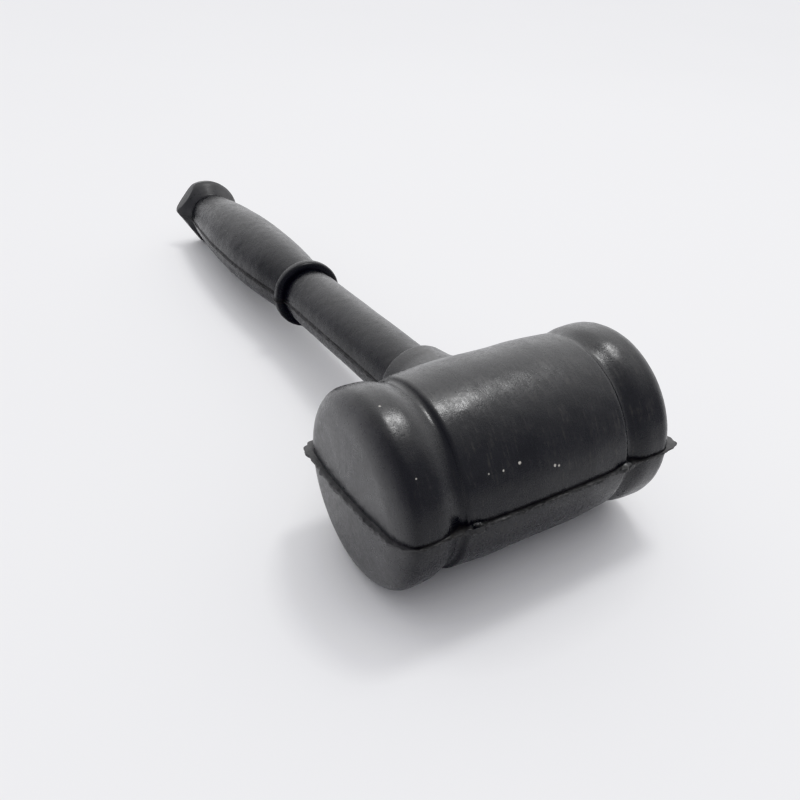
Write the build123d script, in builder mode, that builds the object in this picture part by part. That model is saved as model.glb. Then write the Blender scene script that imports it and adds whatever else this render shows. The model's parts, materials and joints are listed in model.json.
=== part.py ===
"""Solid rubber mallet with a steel cored handle.

The mallet lies at rest on a flat surface, on its two head rims and its pommel.
The head's axis is X. The handle runs towards +Y, tipped down a little to its pommel.
The lowest points are at Z = 0, and the origin is under the middle of the whole mallet.
All sizes are in millimetres.
"""
from build123d import *
from math import asin, atan2, cos, degrees, hypot, sin, sqrt
import os

# ---- head: a solid of revolution about X, the same at both ends -------------------------
head_length = 110.0          # between the middles of the two striking faces
rim_radius = 32.9            # largest radius, at each end
face_dome_radius = 260.0     # the striking faces are slightly domed
face_edge_round = 8.2        # rounding between striking face and rim
rim_width = 15.4             # from the striking face's corner to the rim's shoulder
barrel_radius = 32.9         # middle of the head, between the two creases
crease_from_middle = 16.3    # where the barrel starts to taper
barrel_end_radius = 32.0     # end of the taper, at the groove
barrel_end_from_middle = 31.2
groove_depth = 2.0           # below the end of the barrel
groove_step = 0.5            # the drop from the barrel's end into the groove is nearly upright

# ---- parting fin: rubber squeezed out between the two halves of the mould -----------------
fin_height = 2.0
fin_thickness = 1.4

# ---- collar: the boss of the head that the handle comes out of ---------------------------
collar_length = 50.5         # from the head's axis to the collar's mouth
collar_radius = 15.7         # at the mouth
collar_root_radius = 19.5    # where it runs into the barrel
collar_root_length = 30.0    # from the head's axis
collar_mouth_round = 1.4

# ---- handle sleeve -----------------------------------------------------------------------
shaft_radius = 12.8
socket_floor = 9.0           # from the head's axis; the sleeve's hidden end stands here
shaft_end = 146.0            # from the head's axis; the guard ring starts here

# ---- grip: guard ring, swelled hand hold and pommel, one rubber moulding -------------------
ring_radius = 16.0
ring_thickness = 6.6
ring_round = 2.4
grip_front_radius = 12.9
grip_belly_radius = 16.9
grip_back_radius = 11.9
grip_length = 132.0          # from the guard ring to the root of the pommel
pommel_radius = 17.9
pommel_flare = 5.5           # length over which the grip sweeps out to the pommel
pommel_thickness = 6.0
pommel_round = 2.5

# ---- steel core ---------------------------------------------------------------------------
tube_radius = 8.0
tube_wall = 1.5
tube_front_reach = 18.0      # past the head's axis, towards the front
tube_back_gap = 7.0          # rubber between the rear plug and the pommel's end face
plug_head = 2.0              # thickness of the plug's flange
plug_shank = 8.0             # length of the plug inside the tube
pin_radius = 3.0
pin_length = 52.0
pin_from_axis = 6.0          # the pin crosses the tube this far in front of the head's axis

# ---- lengths along the handle, measured from the head's axis -------------------------------
ring_back = shaft_end + ring_thickness
pommel_root = ring_back + grip_length
pommel_front = pommel_root + pommel_flare
pommel_end = pommel_front + pommel_thickness
pommel_round_centre = pommel_end - pommel_round
tube_end = pommel_end - tube_back_gap - plug_head
plug_radius = tube_radius - tube_wall
ring_flank = ring_radius - ring_round

# ---- rest pose: the rims and the pommel's rear edge touch the surface ------------------------
inner_rim = rim_radius - pommel_round
inner_pommel = pommel_radius - pommel_round
tip_down = asin(inner_rim / hypot(pommel_round_centre, inner_pommel))
tip_down = tip_down - atan2(inner_pommel, pommel_round_centre)

front_reach = (rim_radius + fin_height) * cos(tip_down) + fin_thickness / 2 * sin(tip_down)
back_reach = pommel_round_centre * cos(tip_down) + inner_pommel * sin(tip_down) + pommel_round
head_centre = Vector(0, (front_reach - back_reach) / 2, rim_radius)

# The parting plane holds the head's axis (its x) and the handle's axis (its y).
parting_plane = Plane(origin=head_centre, x_dir=(1, 0, 0), z_dir=(0, sin(tip_down), cos(tip_down)))
head_axis = Axis(head_centre, parting_plane.x_dir)
handle_axis = Axis(head_centre, parting_plane.y_dir)
pin_axis = Axis(parting_plane.from_local_coords((0, -pin_from_axis, 0)), parting_plane.x_dir)

half_length = head_length / 2
face_drop = face_dome_radius - sqrt(face_dome_radius**2 - rim_radius**2)
face_corner = half_length - face_drop
shoulder = face_corner - rim_width
groove_radius = barrel_end_radius - groove_depth
groove_start = barrel_end_from_middle + groove_step


def head_quarter_outline():
    """Outline of one quarter of the head, from the middle of the barrel to a face."""
    Line((0, 0), (0, barrel_radius))
    Line((0, barrel_radius), (crease_from_middle, barrel_radius))
    Line((crease_from_middle, barrel_radius), (barrel_end_from_middle, barrel_end_radius))
    Line((barrel_end_from_middle, barrel_end_radius), (groove_start, groove_radius))
    Spline(
        (groove_start, groove_radius),
        (shoulder, rim_radius),
        tangents=((1, 0), (1, 0)),
    )
    Line((shoulder, rim_radius), (face_corner, rim_radius))
    RadiusArc((face_corner, rim_radius), (half_length, 0), face_dome_radius)
    Line((half_length, 0), (0, 0))


def fin_quarter_outline():
    """Outline of one quarter of the fin, parallel to the rim and the striking face."""
    fin_radius = rim_radius + fin_height
    fin_end = half_length + fin_height
    fin_dome_radius = face_dome_radius + fin_height
    fin_corner = fin_end - fin_dome_radius + sqrt(fin_dome_radius**2 - fin_radius**2)
    Polyline((fin_end, 0), (0, 0), (0, fin_radius), (fin_corner, fin_radius))
    RadiusArc((fin_corner, fin_radius), (fin_end, 0), fin_dome_radius)


def head_half_sketch(outline, edge_round):
    """One side of the head: a quarter outline, its outer corner rounded, mirrored about X = 0."""
    with BuildSketch(Plane.XY, mode=Mode.PRIVATE) as half:
        with BuildLine():
            outline()
        make_face()
        outer_corner = half.vertices().group_by(Axis.Y)[-1].sort_by(Axis.X)[-1]
        fillet(outer_corner, edge_round)
        mirror(about=Plane.YZ)
    return half.sketch_local


head_half = head_half_sketch(head_quarter_outline, face_edge_round)
fin_half = head_half_sketch(fin_quarter_outline, face_edge_round + fin_height)

# ---- head moulding --------------------------------------------------------------------------
with BuildPart() as head_moulding:
    with BuildSketch(parting_plane):
        add(head_half)
    revolve(axis=head_axis)
    with BuildSketch(parting_plane):
        with BuildLine():
            Polyline(
                (0, 0),
                (collar_root_radius, 0),
                (collar_root_radius, collar_root_length),
            )
            Spline(
                (collar_root_radius, collar_root_length),
                (collar_radius, collar_length),
                tangents=((-0.35, 1), (-0.12, 1)),
            )
            Polyline((collar_radius, collar_length), (0, collar_length), (0, 0))
        make_face()
    revolve(axis=handle_axis)
    mouth_edge = head_moulding.edges().filter_by(GeomType.CIRCLE).sort_by(Axis.Y)[-1]
    fillet(mouth_edge, collar_mouth_round)
    # fin all round the head in the parting plane, straight across the grooves
    with BuildSketch(parting_plane):
        add(fin_half)
        mirror(fin_half, about=Plane.XZ)
    extrude(amount=fin_thickness / 2, both=True)
    # socket for the sleeve, bore for the core and its front plug, hole for the cross pin
    with BuildSketch(parting_plane):
        with Locations((shaft_radius / 2, (socket_floor + collar_length) / 2)):
            Rectangle(shaft_radius, collar_length - socket_floor)
        bore_front = -tube_front_reach - plug_head
        with Locations((tube_radius / 2, (bore_front + collar_length) / 2)):
            Rectangle(tube_radius, collar_length - bore_front)
    revolve(axis=handle_axis, mode=Mode.SUBTRACT)
    with BuildSketch(parting_plane):
        with Locations((0, -pin_from_axis + pin_radius / 2)):
            Rectangle(pin_length, pin_radius)
    revolve(axis=pin_axis, mode=Mode.SUBTRACT)
head_moulding.part.label = "head_moulding"

# ---- handle sleeve: plain rubber tube from the socket to the guard ring -----------------------
with BuildPart() as handle_sleeve:
    with BuildSketch(parting_plane):
        wall = shaft_radius - tube_radius
        with Locations((tube_radius + wall / 2, (socket_floor + shaft_end) / 2)):
            Rectangle(wall, shaft_end - socket_floor)
    revolve(axis=handle_axis)
handle_sleeve.part.label = "handle_sleeve"

# ---- hand grip ---------------------------------------------------------------------------------
with BuildPart() as hand_grip:
    with BuildSketch(parting_plane):
        with BuildLine():
            # guard ring
            Line((0, shaft_end), (ring_flank, shaft_end))
            RadiusArc((ring_flank, shaft_end), (ring_radius, shaft_end + ring_round), -ring_round)
            Line((ring_radius, shaft_end + ring_round), (ring_radius, ring_back - ring_round))
            RadiusArc((ring_radius, ring_back - ring_round), (ring_flank, ring_back), -ring_round)
            # swelled hand hold, sweeping out to the pommel
            Line((ring_flank, ring_back), (grip_front_radius, ring_back))
            Spline(
                (grip_front_radius, ring_back),
                (grip_belly_radius, ring_back + grip_length / 2),
                (grip_back_radius, pommel_root),
                tangents=((0.07, 1), (-0.05, 1)),
            )
            Spline(
                (grip_back_radius, pommel_root),
                (pommel_radius, pommel_front),
                tangents=((-0.05, 1), (1, 0.5)),
            )
            Line((pommel_radius, pommel_front), (pommel_radius, pommel_round_centre))
            RadiusArc(
                (pommel_radius, pommel_round_centre),
                (pommel_radius - pommel_round, pommel_end),
                -pommel_round,
            )
            Polyline(
                (pommel_radius - pommel_round, pommel_end),
                (0, pommel_end),
                (0, shaft_end),
            )
        make_face()
    revolve(axis=handle_axis)
    with BuildSketch(parting_plane):
        bore_end = tube_end + plug_head
        with Locations((tube_radius / 2, (shaft_end + bore_end) / 2)):
            Rectangle(tube_radius, bore_end - shaft_end)
    revolve(axis=handle_axis, mode=Mode.SUBTRACT)
hand_grip.part.label = "hand_grip"

# ---- core tube: runs the whole length inside the rubber, pierced for the cross pin ---------------
with BuildPart() as core_tube:
    with BuildSketch(parting_plane):
        with Locations((tube_radius - tube_wall / 2, (tube_end - tube_front_reach) / 2)):
            Rectangle(tube_wall, tube_end + tube_front_reach)
    revolve(axis=handle_axis)
    with BuildSketch(parting_plane):
        with Locations((0, -pin_from_axis + pin_radius / 2)):
            Rectangle(pin_length, pin_radius)
    revolve(axis=pin_axis, mode=Mode.SUBTRACT)
core_tube.part.label = "core_tube"

# ---- cross pin: keeps the head from pulling off or turning on the tube -----------------------------
with BuildPart() as cross_pin:
    with BuildSketch(parting_plane):
        with Locations((0, -pin_from_axis + pin_radius / 2)):
            Rectangle(pin_length, pin_radius)
    revolve(axis=pin_axis)
cross_pin.part.label = "cross_pin"


def tube_plug(name, tube_mouth, inwards):
    """A mushroom plug that closes one end of the core tube, its shank pointing inwards."""
    with BuildPart() as plug:
        with BuildSketch(parting_plane):
            with Locations((plug_radius / 2, tube_mouth + inwards * plug_shank / 2)):
                Rectangle(plug_radius, plug_shank)
            with Locations((tube_radius / 2, tube_mouth - inwards * plug_head / 2)):
                Rectangle(tube_radius, plug_head)
        revolve(axis=handle_axis)
    plug.part.label = name
    return plug.part


pieces = [
    head_moulding.part,
    handle_sleeve.part,
    hand_grip.part,
    core_tube.part,
    cross_pin.part,
    tube_plug("front_plug", -tube_front_reach, 1),
    tube_plug("rear_plug", tube_end, -1),
]

os.makedirs("parts", exist_ok=True)
for piece in pieces:
    export_step(piece, f"parts/{piece.label}.step")

whole = Compound(children=pieces).bounding_box()
print("tipped down", round(degrees(tip_down), 2), "degrees; head centre", head_centre)
print("whole mallet from", whole.min, "to", whole.max)
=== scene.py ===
"""Moulded rubber skin, parting fin and finishes of a solid rubber mallet.

Shapes are worked out in the mallet's own axes and then placed: the origin is the middle of
the head, X runs along the head, Y along the handle towards the pommel, and the parting plane
of the mould is Z = 0. Lengths are in metres.
"""
import json
import math

import bpy
import numpy as np
from mathutils import Matrix, Vector


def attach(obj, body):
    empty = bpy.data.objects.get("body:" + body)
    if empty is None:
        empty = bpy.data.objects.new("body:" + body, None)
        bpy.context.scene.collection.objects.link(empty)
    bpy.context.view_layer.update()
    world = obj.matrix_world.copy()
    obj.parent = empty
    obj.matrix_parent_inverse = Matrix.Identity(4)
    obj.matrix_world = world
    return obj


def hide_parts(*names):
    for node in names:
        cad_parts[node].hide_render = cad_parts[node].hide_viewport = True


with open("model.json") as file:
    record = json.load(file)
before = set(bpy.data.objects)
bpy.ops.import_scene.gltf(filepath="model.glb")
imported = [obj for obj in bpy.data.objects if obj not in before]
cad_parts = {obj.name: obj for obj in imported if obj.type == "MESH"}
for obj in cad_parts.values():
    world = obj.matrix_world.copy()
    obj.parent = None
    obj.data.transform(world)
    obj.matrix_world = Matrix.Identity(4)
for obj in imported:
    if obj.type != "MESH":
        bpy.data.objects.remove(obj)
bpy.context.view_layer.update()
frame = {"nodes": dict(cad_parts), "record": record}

bl_info = {
    "name": "Rubber Mallet",
    "version": (1, 0, 0),
    "blender": (4, 5, 0),
    "location": "View3D > Sidebar > Mallet",
    "description": "Builds the rubber mouldings of a mallet round its steel core",
    "category": "Add Mesh",
}

MM = 0.001
FULL_TURN = 2 * math.pi

# ---- where the mallet lies ----------------------------------------------------------------
SHAFT_MOUNT = next(m for m in frame["record"]["mounts"] if m["name"] == "shaft_clip")
SHAFT_MIDDLE = 98.25 * MM  # from the head's axis to the middle of the bare shaft
ALONG_HANDLE = np.array(SHAFT_MOUNT["axis"])
ALONG_HEAD = np.array([1.0, 0.0, 0.0])
OUT_OF_PARTING = np.cross(ALONG_HEAD, ALONG_HANDLE)
HEAD_CENTRE = np.array(SHAFT_MOUNT["pos_m"]) - SHAFT_MIDDLE * ALONG_HANDLE
HANDLE_TIP = math.atan2(-ALONG_HANDLE[2], ALONG_HANDLE[1])


def placed(points):
    """Points in the mallet's axes, moved to where the mallet lies."""
    axes = np.stack([ALONG_HEAD, ALONG_HANDLE, OUT_OF_PARTING])
    return HEAD_CENTRE + points @ axes


# ---- where the camera stands, in the mallet's axes ---------------------------------------------
CAMERA_SPOT = np.array([-0.13948, -0.17767, 0.15034])
CAMERA_BACK = np.array([-0.47089, -0.71817, 0.51234])
CAMERA_RIGHT = np.array([0.84420, -0.53543, 0.02537])
CAMERA_LENS = 35.913
CAMERA_SHIFT = (-0.0452, 0.0041)


# ---- fineness of the meshes --------------------------------------------------------------------
HEAD_COLUMNS = 300
COLLAR_COLUMNS = 150
HANDLE_COLUMNS = 220
HOLE_COLUMNS = 96
PIN_COLUMNS = 48

# ---- rough rubber ------------------------------------------------------------------------------
FIN_HEIGHT = 1.25 * MM
FIN_EXTRA_ON_FACE = 0.55 * MM
FIN_LESS_ON_RIM = 0.35 * MM
FIN_EXTRA_AT_WEB = 0.9 * MM
FIN_HALF_THICKNESS = 0.60 * MM
POMMEL_FLATS = (  # where each flat's middle is round the handle, and how far from the axis
    (math.radians(139), 15.6 * MM),
    (math.radians(212), 14.0 * MM),
)
POMMEL_TRIM_START = 3.5 * MM  # before the pommel's rim
TORN_HALF_WIDTH = 1.0 * MM  # of the fin and the seams, either side of the parting plane
PIT_SHADE = (0.002, 0.002, 0.0025)
WORN_LENGTH = 5 * MM  # over which clean rubber turns into worn rubber
SPECK_RADIUS = 32.7 * MM  # how far the dust lies from the head's axis
DUST_SPECKS = (  # mm along the head, degrees round it from the parting plane, mm of radius
    (-46, 80, 0.55),
    (-46, 37, 0.42),
    (-23, 27, 0.45),
    (-18, 26, 0.45),
    (-12, 27, 0.60),
    (0.5, 19, 0.60),
    (2, 18, 0.55),
)

# ---- stage -------------------------------------------------------------------------------------
BRIGHT_SIDE = (0.50, 0.65, 0.57)  # where the soft light of the room is strongest
BRIGHT_ROOM = (1.62, 1.62, 1.64)
DIM_ROOM = (0.72, 0.72, 0.76)
FLOOR_REACH = 6.0
LAMP_PLACE = (0.36, 0.08, 1.0)
LAMP_AIM = (0, -0.1, 0.03)
LAMP_SIZE = 0.24


# ---- curves and surfaces --------------------------------------------------------------------
def smooth_step(value):
    """0 below 0, 1 above 1, and 3t^2 - 2t^3 between."""
    value = np.clip(value, 0, 1)
    return value * value * (3 - 2 * value)


def hump(value, centre, half_width):
    """1 at the centre, falling smoothly to 0 at half_width away."""
    return 1 - smooth_step(np.abs(value - centre) / half_width)


def lumps(points, size, seed, waves=28):
    """Smooth random field over space, about -1 to 1: the mean of plane waves in random
    directions, whose wavelengths are near size."""
    random = np.random.default_rng(seed)
    ways = random.normal(size=(waves, 3))
    ways /= np.linalg.norm(ways, axis=1)[:, None]
    lengths = size * random.uniform(0.7, 1.4, waves)
    phases = random.uniform(0, FULL_TURN, waves)
    turns = points @ (ways * (FULL_TURN / lengths)[:, None]).T
    return np.sin(turns + phases).sum(axis=-1) / math.sqrt(waves / 2) / 1.6


def rounded_corners(corners, steps=14):
    """A path through corners of (along, out, cut): each corner is replaced by the quadratic
    curve that starts and ends at the distance cut from it, with the corner as its handle."""
    corners = np.array(corners)
    spots, cuts = corners[:, :2], corners[:, 2]
    pieces = [spots[:1]]
    t = np.linspace(0, 1, steps)[:, None]
    for before, spot, after, cut in zip(spots, spots[1:], spots[2:], cuts[1:]):
        start = spot + (before - spot) / np.linalg.norm(before - spot) * cut
        end = spot + (after - spot) / np.linalg.norm(after - spot) * cut
        pieces.append((1 - t) ** 2 * start + 2 * t * (1 - t) * spot + t**2 * end)
    pieces.append(spots[-1:])
    return np.concatenate(pieces)


def respaced(path, spacing):
    """The path with new points, whose distance apart follows spacing(path): the running sum of
    length over spacing is cut into equal parts."""
    steps = np.linalg.norm(np.diff(path, axis=0), axis=1)
    fine = np.concatenate([[0], np.cumsum(steps)])
    dense_at = np.linspace(0, fine[-1], 6000)
    dense = np.stack([np.interp(dense_at, fine, column) for column in path.T], axis=1)
    weight = 1 / spacing(dense)
    run = np.concatenate([[0], np.cumsum((weight[1:] + weight[:-1]) / 2 * np.diff(dense_at))])
    cuts = np.linspace(0, run[-1], max(4, round(run[-1]) + 1))
    return np.stack([np.interp(cuts, run, column) for column in dense.T], axis=1)


def grid_faces(rows, columns, wrap_rows=False):
    """Corner numbers of the squares of a grid that is closed across its columns."""
    row = np.arange(rows if wrap_rows else rows - 1)[:, None]
    column = np.arange(columns)[None, :]
    next_row, next_column = (row + 1) % rows, (column + 1) % columns
    corners = [
        row * columns + column,
        row * columns + next_column,
        next_row * columns + next_column,
        next_row * columns + column,
    ]
    return np.stack(np.broadcast_arrays(*corners), axis=-1).reshape(-1, 4)


def enclosed_volume(points, squares):
    """Volume inside the squares: a sixth of the sum of a . (b x c) over their triangles."""
    a, b, c, d = (points[squares[:, k]] for k in range(4))
    first = np.einsum("ij,ij->i", a, np.cross(b, c))
    second = np.einsum("ij,ij->i", a, np.cross(c, d))
    return (first.sum() + second.sum()) / 6


def closed_mesh(name, grid, wrap_rows=False, poles=None):
    """A mesh object from a grid of points (rows, columns, 3), closed across its columns, and
    either across its rows too or at two pole points. Its faces are turned outwards."""
    rows, columns = grid.shape[:2]
    points = grid.reshape(-1, 3)
    squares = grid_faces(rows, columns, wrap_rows)
    outwards = enclosed_volume(points, squares) > 0
    faces = (squares if outwards else squares[:, ::-1]).tolist()
    if poles is not None:
        ring = np.arange(columns)
        following = (ring + 1) % columns
        first = np.stack([following, ring, np.full(columns, len(points))], axis=1)
        last_row = (rows - 1) * columns
        last = np.stack(
            [last_row + ring, last_row + following, np.full(columns, len(points) + 1)], axis=1
        )
        points = np.concatenate([points, poles])
        caps = np.concatenate([first, last])
        faces += (caps if outwards else caps[:, ::-1]).tolist()
    mesh = bpy.data.meshes.new(name)
    mesh.from_pydata(placed(points).tolist(), [], faces)
    mesh.validate()
    piece = bpy.data.objects.new(name, mesh)
    bpy.context.scene.collection.objects.link(piece)
    return piece


def merged(piece, operation, others):
    """Applies a union or difference with each of the other closed meshes, and removes them."""
    for other in others:
        cut = piece.modifiers.new(operation.lower(), "BOOLEAN")
        cut.operation = operation
        cut.solver = "EXACT"
        cut.object = other
    bpy.context.view_layer.update()
    finished = piece.evaluated_get(bpy.context.evaluated_depsgraph_get())
    mesh = bpy.data.meshes.new_from_object(finished)
    piece.modifiers.clear()
    piece.data = mesh
    for other in others:
        bpy.data.objects.remove(other)
    return piece


def smooth_shaded(piece, sharp_angle):
    """Smooth shading, with edges left sharp where the faces meet at more than sharp_angle."""
    mesh = piece.data
    mesh.polygons.foreach_set("use_smooth", np.ones(len(mesh.polygons), bool))
    mesh.set_sharp_from_angle(angle=sharp_angle)


def finished_piece(piece, node, material, sharp_angle=math.radians(38)):
    """Gives a piece its shading and material, hangs it under the root body and hides the part that
    it replaces.
    """
    if len(piece.data.polygons) == 0:
        raise RuntimeError(f"{piece.name} came out empty")
    smooth_shaded(piece, sharp_angle)
    piece.data.materials.clear()
    piece.data.materials.append(material)
    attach(piece, "root")
    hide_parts(node)


# ---- head --------------------------------------------------------------------------------------
def head_outline(sizes, grooved=True):
    """Half of the head's outline, from the middle of the barrel to the middle of a face, as
    (along the head, out from its axis). The face is a shallow dome whose edge is rounded by a
    quarter of an ellipse, wider across the face than along the rim."""
    half = sizes.length / 2
    rim, barrel = sizes.rim_radius, sizes.barrel_radius
    end = sizes.barrel_end
    barrel_side = [
        (0, barrel, 0),
        (sizes.crease, barrel, 1.2 * MM),
        (end, barrel - 0.75 * MM, 0.8 * MM),
    ]
    groove = [
        (end + 0.9 * MM, rim - sizes.groove_depth + 0.25 * MM, 0.7 * MM),
        (end + 2.3 * MM, rim - sizes.groove_depth - 0.1 * MM, 0.9 * MM),
        (end + 4.6 * MM, rim - sizes.groove_depth + 0.55 * MM, 1.6 * MM),
        (end + 8.4 * MM, rim - 0.25 * MM, 2.2 * MM),
    ]
    rim_side = [(end + 12.0 * MM, rim, 1.6 * MM)]
    side = rounded_corners(
        barrel_side + (groove if grooved else []) + rim_side + [(half - 9 * MM, rim, 0)]
    )
    flat_radius = rim - sizes.edge_across
    dome_sag = sizes.face_dome
    turn = np.linspace(math.pi / 2, 0, 60)
    slope = 2 * dome_sag / flat_radius
    start = math.atan(slope * sizes.edge_across / sizes.edge_along)
    turn = turn[turn > start]
    edge = np.stack(
        [
            half - dome_sag + sizes.edge_along * (np.cos(turn) - math.cos(start)),
            rim - sizes.edge_across * (1 - np.sin(turn)) / (1 - math.sin(start)),
        ],
        axis=1,
    )
    out = np.linspace(flat_radius, 0, 60)
    dome = np.stack([half - dome_sag * (out / flat_radius) ** 2, out], axis=1)
    side = side[side[:, 0] < edge[0, 0] - 0.3 * MM]
    return np.concatenate([side, edge, dome])


def both_halves(half):
    """A half outline, joined to its mirror image in the middle of the head."""
    mirrored = half[::-1] * [-1, 1]
    return np.concatenate([mirrored, half[1:]])


def head_body(sizes):
    """The head's barrel, grooves, rims and faces: the outline turned about the X axis, then
    pushed in and out a little along the radius by a smooth random field."""
    outline = both_halves(head_outline(sizes))[1:-1]

    def spacing(path):
        along = np.abs(path[:, 0])
        near_groove = hump(along, sizes.barrel_end + 1.0 * MM, 4 * MM)
        near_edge = hump(along, sizes.length / 2 - 3 * MM, 6 * MM)
        near_crease = hump(along, sizes.crease, 2 * MM)
        return MM * (0.95 - 0.7 * near_groove - 0.35 * near_edge - 0.4 * near_crease)

    stations = respaced(outline, spacing)
    stations = stations[stations[:, 1] > 0.4 * MM]
    angle = np.linspace(0, FULL_TURN, HEAD_COLUMNS, endpoint=False)
    along, out = stations[:, :1], stations[:, 1:]
    grid = np.stack(
        [
            np.broadcast_to(along, (len(stations), len(angle))),
            -out * np.cos(angle),
            out * np.sin(angle),
        ],
        axis=-1,
    )
    swell = 0.10 * MM * lumps(grid, 26 * MM, 3) + 0.025 * MM * lumps(grid, 6 * MM, 4)
    swell *= smooth_step(out / (6 * MM))
    grid[..., 1] += -np.cos(angle) * swell
    grid[..., 2] += np.sin(angle) * swell
    tip = sizes.length / 2
    return closed_mesh("head", grid, poles=np.array([[-tip, 0, 0], [tip, 0, 0]]))


def collar_boss(sizes):
    """The boss that the handle comes out of: a ring of radius r(s) about the Y axis, that
    flares towards the head and ends just under the barrel's surface at height
    sqrt(barrel^2 - z^2). Thin seams stand out where it crosses the parting plane."""
    mouth, root = sizes.collar_radius, sizes.collar_root
    reach = sizes.collar_length
    path = rounded_corners(
        [
            (0.0, reach, 0),
            (mouth, reach, 1.1 * MM),
            (mouth + 0.9 * MM, reach - 9 * MM, 2 * MM),
            (root, reach - 16 * MM, 3 * MM),
            (root + 5.5 * MM, reach - 18.7 * MM, 0),
        ]
    )
    path = respaced(path, lambda p: np.full(len(p), 0.55 * MM))[1:]
    angle = clustered_angles(COLLAR_COLUMNS)
    out, height = path[:, :1], path[:, 1:]
    across = out * np.sin(angle)
    drop = sizes.barrel_radius - np.sqrt(sizes.barrel_radius**2 - across**2)
    follow = smooth_step((reach - 6 * MM - height) / (10 * MM))
    ridge = 0.45 * MM * seam_shape(across, 0.35 * MM) * smooth_step((reach - height) / MM)
    out = out + ridge
    grid = np.stack([out * np.cos(angle), height - drop * follow, out * np.sin(angle)], axis=-1)
    poles = np.array([[0, reach, 0], [0, 0, 0]])
    low = grid[-1:] * [1, 0, 1]
    return closed_mesh("collar", np.concatenate([grid, low]), poles=poles)


def fin_strip(sizes):
    """The rubber squeezed out between the halves of the mould: a cross-section of the fin's
    own height and thickness at each place, carried along the head's outline in the parting
    plane. A random field roughens it, most of all at the torn webs over the grooves."""
    half = head_outline(sizes, grooved=False)
    front = both_halves(half) * [1, -1]
    loop = np.concatenate([front, front[-2:0:-1] * [1, -1]])
    loop = np.concatenate([loop, loop[:1]])
    path = respaced(loop, lambda p: np.full(len(p), 0.42 * MM))[:-1]
    ahead, behind = np.roll(path, -1, axis=0), np.roll(path, 1, axis=0)
    way = ahead - behind
    way /= np.linalg.norm(way, axis=1)[:, None]
    outward = np.stack([way[:, 1], -way[:, 0]], axis=1)
    x, y = path[:, 0], path[:, 1]
    in_front = smooth_step((-y - 5 * MM) / (5 * MM))
    on_face = smooth_step((np.abs(x) - sizes.length / 2 + 5.5 * MM) / (4 * MM))
    on_rim = smooth_step((np.abs(x) - sizes.barrel_end - 3 * MM) / (3 * MM)) * (1 - on_face)
    corner_x = sizes.length / 2 - 2.6 * MM
    corner_y = sizes.rim_radius - 3.6 * MM

    def tip(side_x, side_y, length):
        away = np.hypot(x - side_x * corner_x, y - side_y * corner_y)
        return np.clip(1 - away / length, 0, 1)

    web = hump(x, -sizes.barrel_end + 2.6 * MM, 5.2 * MM) * in_front
    web = web + 0.7 * hump(x, sizes.barrel_end - 0.5 * MM, 5.0 * MM) * in_front
    height = FIN_HEIGHT + FIN_EXTRA_ON_FACE * on_face - FIN_LESS_ON_RIM * on_rim
    height = height + FIN_EXTRA_AT_WEB * web
    height += 1.5 * MM * np.minimum(tip(-1, 1, 5.5 * MM) * 1.5, 1)
    height += 2.2 * MM * tip(1, -1, 4.5 * MM) + 1.0 * MM * tip(1, 1, 7 * MM)
    thick = FIN_HALF_THICKNESS + 0.12 * MM * on_face - 0.2 * MM * on_rim + 1.0 * MM * web
    flat = np.stack([x, y, np.zeros_like(x)], axis=1)
    height *= 1 + 0.16 * lumps(flat, 7 * MM, 11) + 0.10 * lumps(flat, 2.2 * MM, 12)
    thick *= 1 + 0.14 * lumps(flat, 9 * MM, 13)
    centre = 0.35 * MM * lumps(flat, 45 * MM, 14) - 0.25 * MM * web
    lift = np.array([-1.0, 0, 0.35, 0.7, 0.93, 1.0, 0.97, 1.0, 0.9, 0.66, 0.33, 0, -1.0])
    side = np.array([1.2, 1.18, 1.03, 0.98, 0.86, 0.5, 0, -0.5, -0.9, -1.02, -1.06, -1.2, -1.2])
    rise = np.where(lift < 0, lift * 3.2 * MM, lift * height[:, None])
    grid = np.stack(
        [
            x[:, None] + outward[:, :1] * rise,
            y[:, None] + outward[:, 1:] * rise,
            centre[:, None] + side * thick[:, None],
        ],
        axis=-1,
    )
    rough = (0.10 + 0.30 * web)[:, None] * MM * smooth_step(lift * 4 + 0.2)
    for axis, seed in ((0, 21), (1, 22), (2, 23)):
        grid[..., axis] += rough * (
            0.6 * lumps(grid, 3.2 * MM, seed) + 0.5 * lumps(grid, 1.3 * MM, seed + 10)
        )
    return closed_mesh("fin", grid, wrap_rows=True)


def handle_core_space(sizes, shaft_radius, core_radius):
    """The hollow inside the head that holds the sleeve and the core: a stepped cylinder about
    the Y axis."""
    path = rounded_corners(
        [
            (0, sizes.collar_length + 2 * MM, 0),
            (shaft_radius, sizes.collar_length + 2 * MM, 0.1 * MM),
            (shaft_radius, sizes.socket_floor, 0.1 * MM),
            (core_radius, sizes.socket_floor, 0.1 * MM),
            (core_radius, -sizes.core_reach, 0.1 * MM),
            (0, -sizes.core_reach, 0),
        ],
        steps=3,
    )[1:-1]
    angle = np.linspace(0, FULL_TURN, HOLE_COLUMNS, endpoint=False)
    out, height = path[:, :1], path[:, 1:]
    grid = np.stack(
        [out * np.cos(angle), height + 0 * angle, out * np.sin(angle)],
        axis=-1,
    )
    poles = np.array([[0, sizes.collar_length + 2 * MM, 0], [0, -sizes.core_reach, 0]])
    return closed_mesh("core_space", grid, poles=poles)


def cross_pin_space(sizes):
    """The hole that holds the cross pin: a cylinder along the X axis, in front of the middle."""
    end = sizes.pin_length / 2
    angle = np.linspace(0, FULL_TURN, PIN_COLUMNS, endpoint=False)
    along = np.array([[-end], [end]])
    middle = -sizes.pin_from_axis
    grid = np.stack(
        [
            along + 0 * angle,
            middle + sizes.pin_radius * np.cos(angle) + 0 * along,
            sizes.pin_radius * np.sin(angle) + 0 * along,
        ],
        axis=-1,
    )
    poles = np.array([[-end, middle, 0], [end, middle, 0]])
    return closed_mesh("pin_space", grid, poles=poles)


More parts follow.
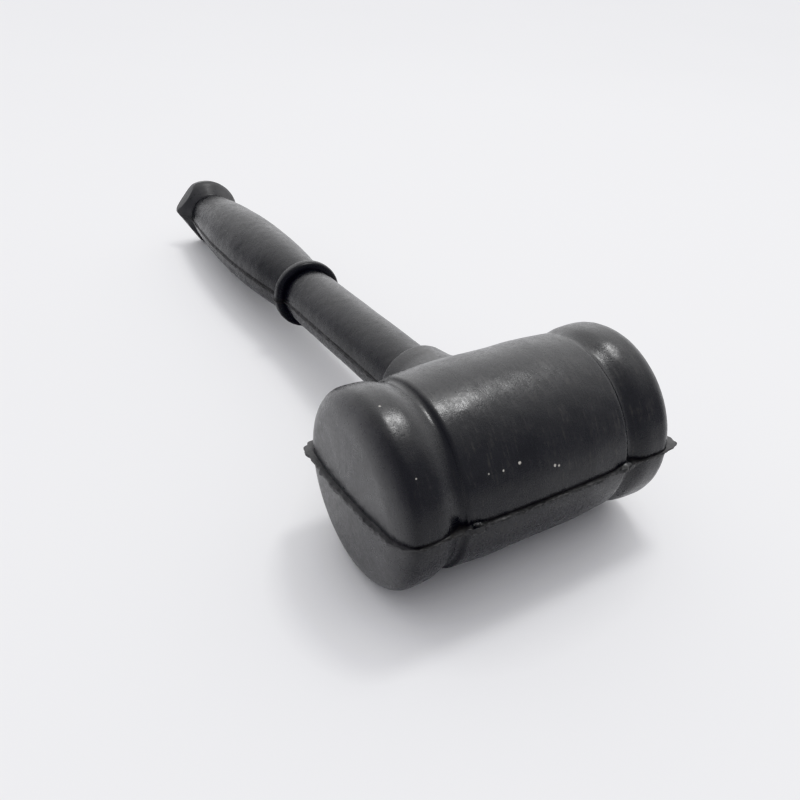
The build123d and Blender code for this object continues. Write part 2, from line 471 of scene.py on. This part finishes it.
# ---- handle -------------------------------------------------------------------------------------
def clustered_angles(count):
    """Angles round the handle: evenly spaced, with more of them near the two seams at 0 and
    half a turn. The even spacing is bent by a sine of twice the angle."""
    even = np.linspace(0, FULL_TURN, count, endpoint=False)
    return even - 0.44 * np.sin(2 * even)


def seam_shape(across, half_thickness):
    """1 on the parting plane and 0 beyond the seam's thickness, with soft edges."""
    return 1 - smooth_step((np.abs(across) - 0.4 * half_thickness) / (0.9 * half_thickness))


def handle_moulding(name, path, seam_height, bore, trim_start=None, ends=None):
    """A body turned about the handle's axis from an outline of (out, along), with a ragged
    seam along each side and a slightly uneven skin. The bore runs back inside it, and the
    surface closes on itself, or at the middles of its two ends where those are given."""
    angle = clustered_angles(HANDLE_COLUMNS)
    out, along = path[:, :1], path[:, 1:]
    spot = np.stack(
        [out * np.cos(angle), along + 0 * angle, out * np.sin(angle)],
        axis=-1,
    )
    ragged = 1 + 0.35 * lumps(spot * [0, 1, 0] + [0.05, 0, 0], 6 * MM, 31)
    seam = seam_height * ragged * seam_shape(out * np.sin(angle), 0.42 * MM)
    swell = 0.06 * MM * lumps(spot, 22 * MM, 33) + 0.02 * MM * lumps(spot, 5 * MM, 34)
    radius = out + seam + swell
    if trim_start is not None:
        radius = pommel_trims(radius, along, angle, trim_start)
    skin = np.stack(
        [radius * np.cos(angle), along + 0 * angle, radius * np.sin(angle)], axis=-1
    )
    bore_out, bore_along = bore[:, :1], bore[:, 1:]
    lining = np.stack(
        [bore_out * np.cos(angle), bore_along + 0 * angle, bore_out * np.sin(angle)], axis=-1
    )
    grid = np.concatenate([lining, skin])
    return closed_mesh(name, grid, wrap_rows=ends is None, poles=ends)


def pommel_trims(radius, along, angle, start):
    """Radius of the handle after the pommel's flash was trimmed off by hand: past start, no
    point reaches beyond either of two flats, each at its own distance d from the axis, so that
    the radius stays under d / cos(angle from the flat's middle). The flats meet in a point on
    the parting plane."""
    cut = smooth_step((along - start) / (1.5 * MM))
    for middle, distance in POMMEL_FLATS:
        facing = np.maximum(np.cos(angle - middle), 0.05)
        limit = np.minimum(radius, distance / facing)
        radius = radius + (limit - radius) * cut
    return radius


# ---- shader maths ------------------------------------------------------------------------------
class Wire:
    """One output of a shader node. Arithmetic on wires and numbers adds Math nodes."""

    def __init__(self, tree, socket):
        self.tree = tree
        self.socket = socket

    def _math(self, operation, *values):
        return Nodes(self.tree).add("ShaderNodeMath", {"operation": operation}, values)

    def __add__(self, other):
        return self._math("ADD", self, other)

    __radd__ = __add__

    def __sub__(self, other):
        return self._math("SUBTRACT", self, other)

    def __rsub__(self, other):
        return self._math("SUBTRACT", other, self)

    def __mul__(self, other):
        return self._math("MULTIPLY", self, other)

    __rmul__ = __mul__

    def turn_from(self, other):
        """The angle whose tangent is this value over the other."""
        return self._math("ARCTAN2", self, other)

    def larger(self, other):
        return self._math("MAXIMUM", self, other)

    def size(self):
        return self._math("ABSOLUTE", self)


class Nodes:
    """The nodes of one material or world, added one at a time."""

    def __init__(self, tree):
        self.tree = tree

    def add(self, kind, settings=None, values=(), output=0):
        """Adds a node: its settings are set first, then its sockets, by place or by name."""
        node = self.tree.nodes.new(kind)
        for key, setting in (settings or {}).items():
            setattr(node, key, setting)
        pairs = values.items() if isinstance(values, dict) else enumerate(values)
        for key, value in pairs:
            if isinstance(value, Wire):
                self.tree.links.new(value.socket, node.inputs[key])
            else:
                node.inputs[key].default_value = value
        return Wire(self.tree, node.outputs[output]) if len(node.outputs) else node

    def ramp(self, value, low, high):
        """0 below low, 1 above high, smooth between."""
        settings = {"interpolation_type": "SMOOTHSTEP"}
        return self.add("ShaderNodeMapRange", settings, {0: value, 1: low, 2: high})

    def noise(self, place, scale, detail=3.0, roughness=0.55):
        values = {"Vector": place, "Scale": scale, "Detail": detail, "Roughness": roughness}
        return self.add("ShaderNodeTexNoise", None, values)

    def blend(self, share, first, second):
        """First colour where share is 0, second where it is 1."""
        settings = {"data_type": "RGBA"}
        return self.add("ShaderNodeMix", settings, {0: share, 6: first, 7: second}, output=2)


def mallet_coordinates(nodes):
    """Object coordinates, turned into the mallet's own axes."""
    place = nodes.add("ShaderNodeTexCoord", output=3)
    return nodes.add(
        "ShaderNodeMapping",
        {"vector_type": "TEXTURE"},
        {
            "Vector": place,
            "Location": Vector(HEAD_CENTRE),
            "Rotation": (-HANDLE_TIP, 0, 0),
        },
    )


def separate(nodes, vector):
    """The three parts of a vector, each as a wire."""
    node = nodes.tree.nodes.new("ShaderNodeSeparateXYZ")
    nodes.tree.links.new(vector.socket, node.inputs[0])
    return [Wire(nodes.tree, socket) for socket in node.outputs]


def rubber_material(
    name, colours, clean, turned_about_x, scuffing, refraction, seed, worn_from=None, specks=()
):
    """Cured black rubber: mottled, with a grey bloom in patches, faint streaks left by the
    mould, scuffs and a few pits, and a grain that breaks up its sheen. Torn rubber next to the
    parting plane is duller, and so is rubber further along the piece than worn_from, which has
    been knocked and rubbed."""
    material = bpy.data.materials.new(name)
    material.use_nodes = True
    tree = material.node_tree
    nodes = Nodes(tree)
    shader = tree.nodes["Principled BSDF"]
    place = mallet_coordinates(nodes)
    x, y, z = separate(nodes, place)
    along, turn = (x, z.turn_from(y)) if turned_about_x else (y, z.turn_from(x))
    wrapped = nodes.add("ShaderNodeCombineXYZ", None, (along, turn * 0.004, seed))
    cloud = nodes.noise(place, 22.0, 2.0)
    mottle = nodes.noise(place, 70.0 + seed, 4.0, 0.6)
    fleck = nodes.noise(place, 430.0, 6.0, 0.72)
    coarse = nodes.noise(place, 900.0, 4.0, 0.65)
    grain = nodes.noise(place, 3200.0, 2.0, 0.6)
    lathe = nodes.noise(wrapped, 900.0, 3.0, 0.6)
    cells = {"Vector": place, "Scale": 230.0, "Randomness": 1.0}
    pits = nodes.add("ShaderNodeTexVoronoi", {"feature": "F1"}, cells)
    rare = nodes.ramp(nodes.noise(place, 120.0 + seed, 1.0), 0.71, 0.74)
    pit = (1 - nodes.ramp(pits, 0.06, 0.16)) * rare
    bloom = nodes.ramp(cloud * 0.5 + mottle * 0.5, 0.42, 0.60)
    scuff = nodes.ramp(fleck * 0.4 + lathe * 0.6, 0.52, 0.66) * (bloom * 0.75 + 0.25)
    torn = 1 - nodes.ramp(z.size(), TORN_HALF_WIDTH, TORN_HALF_WIDTH + 0.4 * MM)
    colour = nodes.blend(bloom, (*clean, 1), (*colours.bloom, 1))
    colour = nodes.blend(scuff * scuffing, colour, (*colours.scuff, 1))
    colour = nodes.blend(torn * 0.35, colour, (*colours.scuff, 1))
    worn = 0.0
    if worn_from is not None:
        worn = nodes.ramp(along.size(), worn_from, worn_from + WORN_LENGTH)
        colour = nodes.blend(worn * (mottle * 0.9 + 0.2), colour, (*colours.worn, 1))
    colour = nodes.blend(pit * 0.7, colour, (*PIT_SHADE, 1))
    dust = None
    for ahead, degrees, radius in specks:
        round_head, size = math.radians(degrees), radius * MM
        spot = Vector(
            (
                ahead * MM,
                -SPECK_RADIUS * math.cos(round_head),
                SPECK_RADIUS * math.sin(round_head),
            )
        )
        away = nodes.add(
            "ShaderNodeVectorMath", {"operation": "DISTANCE"}, {0: place, 1: spot}, output=1
        )
        mark = 1 - nodes.ramp(away + (coarse - 0.5) * size * 1.2, size * 0.45, size)
        dust = mark if dust is None else dust.larger(mark)
    if dust is not None:
        colour = nodes.blend(dust * 0.8, colour, (*colours.dust, 1))
    tree.links.new(colour.socket, shader.inputs["Base Color"])
    uneven = (lathe - 0.5) * 0.30 + (coarse - 0.5) * 0.35 + (fleck - 0.5) * 0.35
    roughness = 0.26 + bloom * 0.06 + uneven + pit * 0.2 + torn * 0.20 + worn * 0.06
    tree.links.new(roughness.socket, shader.inputs["Roughness"])
    shader.inputs["IOR"].default_value = refraction
    relief = fleck * 0.7 + coarse * 0.5 + grain * 0.2 + lathe * 0.3 - pit * 1.5
    values = {"Strength": 0.6, "Distance": 0.14 * MM, "Height": relief}
    bump = nodes.add("ShaderNodeBump", None, values)
    tree.links.new(bump.socket, shader.inputs["Normal"])
    return material


def steel_material():
    """Drawn steel: fine lines along the handle in its roughness and colour."""
    material = bpy.data.materials.new("drawn_steel")
    material.use_nodes = True
    tree = material.node_tree
    nodes = Nodes(tree)
    shader = tree.nodes["Principled BSDF"]
    place = mallet_coordinates(nodes)
    stretched = nodes.add(
        "ShaderNodeVectorMath", {"operation": "MULTIPLY"}, {0: place, 1: (1.0, 0.04, 1.0)}
    )
    lines = nodes.noise(stretched, 2500.0, 3.0, 0.6)
    stain = nodes.noise(place, 60.0, 4.0, 0.6)
    shade = nodes.ramp(lines * 0.6 + stain * 0.4, 0.35, 0.7)
    colour = nodes.blend(shade, (0.42, 0.42, 0.43, 1), (0.60, 0.60, 0.61, 1))
    tree.links.new(colour.socket, shader.inputs["Base Color"])
    tree.links.new((0.28 + shade * 0.18).socket, shader.inputs["Roughness"])
    shader.inputs["Metallic"].default_value = 1.0
    return material


# ---- what a user may change --------------------------------------------------------------------
def length(name, description, default):
    """A setting that holds a length in metres."""
    return bpy.props.FloatProperty(
        name=name,
        description=description,
        default=default,
        min=0.0,
        subtype="DISTANCE",
        unit="LENGTH",
        precision=5,
    )


def shade(name, description, default):
    """A setting that holds a colour."""
    return bpy.props.FloatVectorProperty(
        name=name,
        description=description,
        default=default,
        size=3,
        min=0.0,
        max=1.0,
        subtype="COLOR",
    )


class MalletHeadSizes(bpy.types.PropertyGroup):
    """Sizes of the head."""

    length: length("Length", "Between the middles of the two faces", 110 * MM)
    rim_radius: length("Rim radius", "Radius of the rims", 32.85 * MM)
    barrel_radius: length("Barrel radius", "Radius of the middle of the barrel", 32.85 * MM)
    crease: length("Crease", "From the middle to where the barrel starts to taper", 16.3 * MM)
    barrel_end: length("Barrel end", "From the middle to the groove", 31.3 * MM)
    groove_depth: length("Groove depth", "Depth of the groove below the rim", 2.3 * MM)
    face_dome: length("Face dome", "How far the middle of a face stands out", 1.03 * MM)
    edge_across: length("Edge rounding across", "Rounding of the face's edge, across", 9.2 * MM)
    edge_along: length("Edge rounding along", "Rounding of the face's edge, along", 7.3 * MM)
    collar_length: length("Collar length", "From the head's axis to the collar's mouth", 50.5 * MM)
    collar_radius: length("Collar radius", "Radius of the collar's mouth", 15.7 * MM)
    collar_root: length(
        "Collar root radius", "Radius where the collar meets the barrel", 19.5 * MM
    )
    socket_floor: length("Socket floor", "From the head's axis to the sleeve's inner end", 9 * MM)
    core_reach: length("Core reach", "How far the core runs past the head's axis", 20 * MM)
    pin_radius: length("Pin radius", "Radius of the cross pin", 3 * MM)
    pin_length: length("Pin length", "Length of the cross pin", 52 * MM)
    pin_from_axis: length("Pin from axis", "From the head's axis to the cross pin", 6 * MM)


class MalletHandleSizes(bpy.types.PropertyGroup):
    """Sizes of the handle."""

    shaft_radius: length("Shaft radius", "Radius of the bare shaft", 12.8 * MM)
    core_radius: length("Core radius", "Radius of the steel core", 8 * MM)
    ring_start: length("Ring start", "From the head's axis to the guard ring", 146 * MM)
    ring_thickness: length("Ring thickness", "Thickness of the guard ring", 6.6 * MM)
    ring_radius: length("Ring radius", "Radius of the guard ring", 16.0 * MM)
    grip_front: length("Grip front radius", "Radius of the grip at the ring", 12.9 * MM)
    grip_belly: length("Grip belly radius", "Radius of the middle of the grip", 16.9 * MM)
    grip_back: length("Grip back radius", "Radius of the grip at the pommel", 11.9 * MM)
    grip_length: length("Grip length", "From the ring to the pommel's root", 132 * MM)
    pommel_radius: length("Pommel radius", "Radius of the pommel", 17.9 * MM)
    pommel_flare: length("Pommel flare", "Length over which the pommel spreads", 5.5 * MM)
    pommel_thickness: length("Pommel thickness", "Thickness of the pommel's rim", 6.0 * MM)
    seam_height: length("Seam height", "How far the moulding seam stands out", 0.55 * MM)


class MalletFinish(bpy.types.PropertyGroup):
    """Colours of the rubber."""

    head: shade("Head rubber", "Clean rubber of the head", (0.0058, 0.0059, 0.0070))
    handle: shade("Handle rubber", "Clean rubber of the handle", (0.0140, 0.0140, 0.0155))
    bloom: shade("Bloom", "Rubber under a grey bloom", (0.0110, 0.0112, 0.0120))
    scuff: shade("Scuff", "Rubber rubbed dull", (0.032, 0.031, 0.028))
    worn: shade("Worn rubber", "Knocked and rubbed rubber", (0.090, 0.090, 0.090))
    dust: shade("Dust", "Specks of dust on the head", (0.55, 0.53, 0.48))


class MalletStage(bpy.types.PropertyGroup):
    """Floor, light and camera."""

    floor: shade("Floor", "Colour of the surface the mallet lies on", (0.83, 0.83, 0.832))
    sky: bpy.props.FloatProperty(
        name="Sky", description="Brightness of the soft light all round", default=1.0, min=0.0
    )
    lamp: bpy.props.FloatProperty(
        name="Lamp",
        description="Power of the softbox overhead",
        default=2.3,
        min=0.0,
        subtype="POWER",
        unit="POWER",
    )


# ---- operators ------------------------------------------------------------------------------
class MALLET_OT_build_head(bpy.types.Operator):
    """Builds the head with its grooves, collar, parting fin and socket"""

    bl_idname = "mallet.build_head"
    bl_label = "Build head"

    def execute(self, context):
        sizes = context.scene.mallet_head
        handle = context.scene.mallet_handle
        head = head_body(sizes)
        merged(head, "UNION", [collar_boss(sizes), fin_strip(sizes)])
        merged(
            head,
            "DIFFERENCE",
            [
                handle_core_space(sizes, handle.shaft_radius, handle.core_radius),
                cross_pin_space(sizes),
            ],
        )
        finish = context.scene.mallet_finish
        worn_from = sizes.length / 2 - 6.5 * MM
        material = rubber_material(
            "head_rubber",
            finish,
            finish.head,
            turned_about_x=True,
            scuffing=1.0,
            refraction=1.6,
            seed=2.0,
            worn_from=worn_from,
            specks=DUST_SPECKS,
        )
        finished_piece(head, "head_moulding", material)
        return {"FINISHED"}


class MALLET_OT_build_shaft(bpy.types.Operator):
    """Builds the rubber sleeve between the collar and the guard ring"""

    bl_idname = "mallet.build_shaft"
    bl_label = "Build shaft"

    def execute(self, context):
        head = context.scene.mallet_head
        sizes = context.scene.mallet_handle
        radius, core = sizes.shaft_radius, sizes.core_radius
        start, end = head.socket_floor, sizes.ring_start
        path = np.array([(radius, start), (radius, end)])
        path = respaced(path, lambda p: np.full(len(p), 0.7 * MM))
        bore = np.array([(core, end), (core, start)])
        visible = smooth_step((path[:, 1:] - head.collar_length + MM) / MM)
        shaft = handle_moulding("shaft", path, sizes.seam_height * visible, bore)
        finish = context.scene.mallet_finish
        material = rubber_material(
            "shaft_rubber",
            finish,
            finish.handle,
            turned_about_x=False,
            scuffing=0.4,
            refraction=1.5,
            seed=5.0,
        )
        finished_piece(shaft, "handle_sleeve", material)
        return {"FINISHED"}


class MALLET_OT_build_grip(bpy.types.Operator):
    """Builds the guard ring, the swelled grip and the pommel"""

    bl_idname = "mallet.build_grip"
    bl_label = "Build grip"

    def execute(self, context):
        sizes = context.scene.mallet_handle
        start = sizes.ring_start
        ring_end = start + sizes.ring_thickness
        root = ring_end + sizes.grip_length
        rim = root + sizes.pommel_flare
        end = rim + sizes.pommel_thickness
        share = np.linspace(0, 1, 40)
        swell = (
            sizes.grip_front * (1 - share) * (1 - 2 * share)
            + 4 * sizes.grip_belly * share * (1 - share)
            + sizes.grip_back * share * (2 * share - 1)
        )
        hold = np.stack([swell, ring_end + sizes.grip_length * share, 0 * share], axis=1)
        ring = sizes.ring_radius
        corners = np.concatenate(
            [
                [
                    (sizes.core_radius, start, 0),
                    (sizes.shaft_radius + 0.6 * MM, start, 0.3 * MM),
                    (ring, start + 0.5 * MM, 2.0 * MM),
                    (ring, ring_end - 0.9 * MM, 2.0 * MM),
                    (sizes.grip_front + 0.2 * MM, ring_end + 0.6 * MM, 1.0 * MM),
                ],
                hold[2:],
                [
                    (sizes.pommel_radius - 0.5 * MM, rim, 1.6 * MM),
                    (sizes.pommel_radius, rim + 1.2 * MM, 0.6 * MM),
                    (sizes.pommel_radius, end, 2.3 * MM),
                    (sizes.core_radius * 0.05, end, 0),
                ],
            ]
        )
        path = respaced(rounded_corners(corners), lambda p: np.full(len(p), 0.62 * MM))
        bore_end = end - 7 * MM
        bore = np.array(
            [
                (sizes.core_radius * 0.05, bore_end),
                (sizes.core_radius, bore_end),
                (sizes.core_radius, start + 0.2 * MM),
            ]
        )
        ends = np.array([[0, bore_end, 0], [0, end, 0]])
        grip = handle_moulding(
            "grip", path, sizes.seam_height, bore, rim - POMMEL_TRIM_START, ends
        )
        finish = context.scene.mallet_finish
        material = rubber_material(
            "grip_rubber",
            finish,
            finish.handle,
            turned_about_x=False,
            scuffing=0.4,
            refraction=1.39,
            seed=9.0,
            worn_from=root - 4 * MM,
        )
        finished_piece(grip, "hand_grip", material)
        return {"FINISHED"}


class MALLET_OT_finish_core(bpy.types.Operator):
    """Gives the hidden steel core, its cross pin and its plugs their finish"""

    bl_idname = "mallet.finish_core"
    bl_label = "Finish core"

    def execute(self, context):
        material = steel_material()
        for name in ("core_tube", "cross_pin", "front_plug", "rear_plug"):
            mesh = frame["nodes"][name].data
            mesh.materials.clear()
            mesh.materials.append(material)
        return {"FINISHED"}


class MALLET_OT_build_stage(bpy.types.Operator):
    """Lays the floor and sets the light and the camera"""

    bl_idname = "mallet.build_stage"
    bl_label = "Build stage"

    def execute(self, context):
        stage = context.scene.mallet_stage
        self.lay_floor(stage)
        self.light_world(context, stage)
        self.hang_lamp(stage)
        self.set_camera(context)
        return {"FINISHED"}

    def lay_floor(self, stage):
        reach = FLOOR_REACH
        mesh = bpy.data.meshes.new("floor")
        corners = [(-reach, -reach, 0), (reach, -reach, 0), (reach, reach, 0), (-reach, reach, 0)]
        mesh.from_pydata(corners, [], [(0, 1, 2, 3)])
        floor = bpy.data.objects.new("floor", mesh)
        bpy.context.scene.collection.objects.link(floor)
        material = bpy.data.materials.new("pale_card")
        material.use_nodes = True
        tree = material.node_tree
        nodes = Nodes(tree)
        place = nodes.add("ShaderNodeTexCoord", output=3)
        fleck = nodes.ramp(nodes.noise(place, 3.0, 3.0), 0.3, 0.7)
        colour = nodes.blend(
            fleck, (*stage.floor, 1), tuple(0.985 * c for c in stage.floor) + (1,)
        )
        shader = tree.nodes["Principled BSDF"]
        tree.links.new(colour.socket, shader.inputs["Base Color"])
        shader.inputs["Roughness"].default_value = 0.75
        mesh.materials.append(material)

    def light_world(self, context, stage):
        context.scene.view_settings.view_transform = "Khronos PBR Neutral"
        world = bpy.data.worlds.new("soft_room")
        context.scene.world = world
        world.use_nodes = True
        tree = world.node_tree
        tree.nodes.clear()
        nodes = Nodes(tree)
        way = nodes.add("ShaderNodeTexCoord", output=0)
        toward = nodes.add(
            "ShaderNodeVectorMath",
            {"operation": "DOT_PRODUCT"},
            {0: way, 1: Vector(BRIGHT_SIDE).normalized()},
            output=1,
        )
        shade = nodes.blend(nodes.ramp(toward, 0.0, 1.0), (*DIM_ROOM, 1), (*BRIGHT_ROOM, 1))
        nodes.add(
            "ShaderNodeOutputWorld",
            None,
            {0: nodes.add("ShaderNodeBackground", None, {0: shade, 1: stage.sky})},
        )

    def hang_lamp(self, stage):
        light = bpy.data.lights.new("softbox", "AREA")
        light.shape = "DISK"
        light.size = LAMP_SIZE
        light.energy = stage.lamp
        lamp = bpy.data.objects.new("softbox", light)
        bpy.context.scene.collection.objects.link(lamp)
        lamp.location = LAMP_PLACE
        aim = Vector(LAMP_AIM) - lamp.location
        lamp.rotation_euler = aim.to_track_quat("-Z", "Y").to_euler()

    def set_camera(self, context):
        data = bpy.data.cameras.new("camera")
        camera = bpy.data.objects.new("camera", data)
        context.scene.collection.objects.link(camera)
        data.sensor_width = 36.0
        data.lens = CAMERA_LENS
        data.shift_x, data.shift_y = CAMERA_SHIFT
        data.clip_start = 0.01
        axes = np.stack([CAMERA_RIGHT, np.cross(CAMERA_BACK, CAMERA_RIGHT), CAMERA_BACK])
        turned = placed(axes) - HEAD_CENTRE
        spot = Matrix.Translation(placed(CAMERA_SPOT))
        camera.matrix_world = spot @ Matrix(turned.T.tolist()).to_4x4()
        context.scene.camera = camera


class MALLET_PT_sidebar(bpy.types.Panel):
    """Lists the mallet's sizes, its finish and the stage, with a button for each piece"""

    bl_idname = "MALLET_PT_sidebar"
    bl_label = "Rubber Mallet"
    bl_space_type = "VIEW_3D"
    bl_region_type = "UI"
    bl_category = "Mallet"

    def draw(self, context):
        scene = context.scene
        groups = (
            ("Head", scene.mallet_head, ("build_head",)),
            ("Handle", scene.mallet_handle, ("build_shaft", "build_grip")),
            ("Finish", scene.mallet_finish, ("finish_core",)),
            ("Stage", scene.mallet_stage, ("build_stage",)),
        )
        for title, group, operators in groups:
            box = self.layout.box()
            box.label(text=title)
            for name in group.bl_rna.properties.keys():
                if name not in ("rna_type", "name"):
                    box.prop(group, name)
            for operator in operators:
                box.operator(f"mallet.{operator}")


GROUPS = {
    "mallet_head": MalletHeadSizes,
    "mallet_handle": MalletHandleSizes,
    "mallet_finish": MalletFinish,
    "mallet_stage": MalletStage,
}
CLASSES = (
    *GROUPS.values(),
    MALLET_OT_build_head,
    MALLET_OT_build_shaft,
    MALLET_OT_build_grip,
    MALLET_OT_finish_core,
    MALLET_OT_build_stage,
    MALLET_PT_sidebar,
)


def register():
    for new_class in CLASSES:
        bpy.utils.register_class(new_class)
    for name, group in GROUPS.items():
        setattr(bpy.types.Scene, name, bpy.props.PointerProperty(type=group))


def unregister():
    for name in GROUPS:
        delattr(bpy.types.Scene, name)
    for old_class in reversed(CLASSES):
        bpy.utils.unregister_class(old_class)


def main():
    register()
    bpy.ops.mallet.build_head()
    bpy.ops.mallet.build_shaft()
    bpy.ops.mallet.build_grip()
    bpy.ops.mallet.finish_core()
    bpy.ops.mallet.build_stage()


if __name__ == "__main__":
    main()
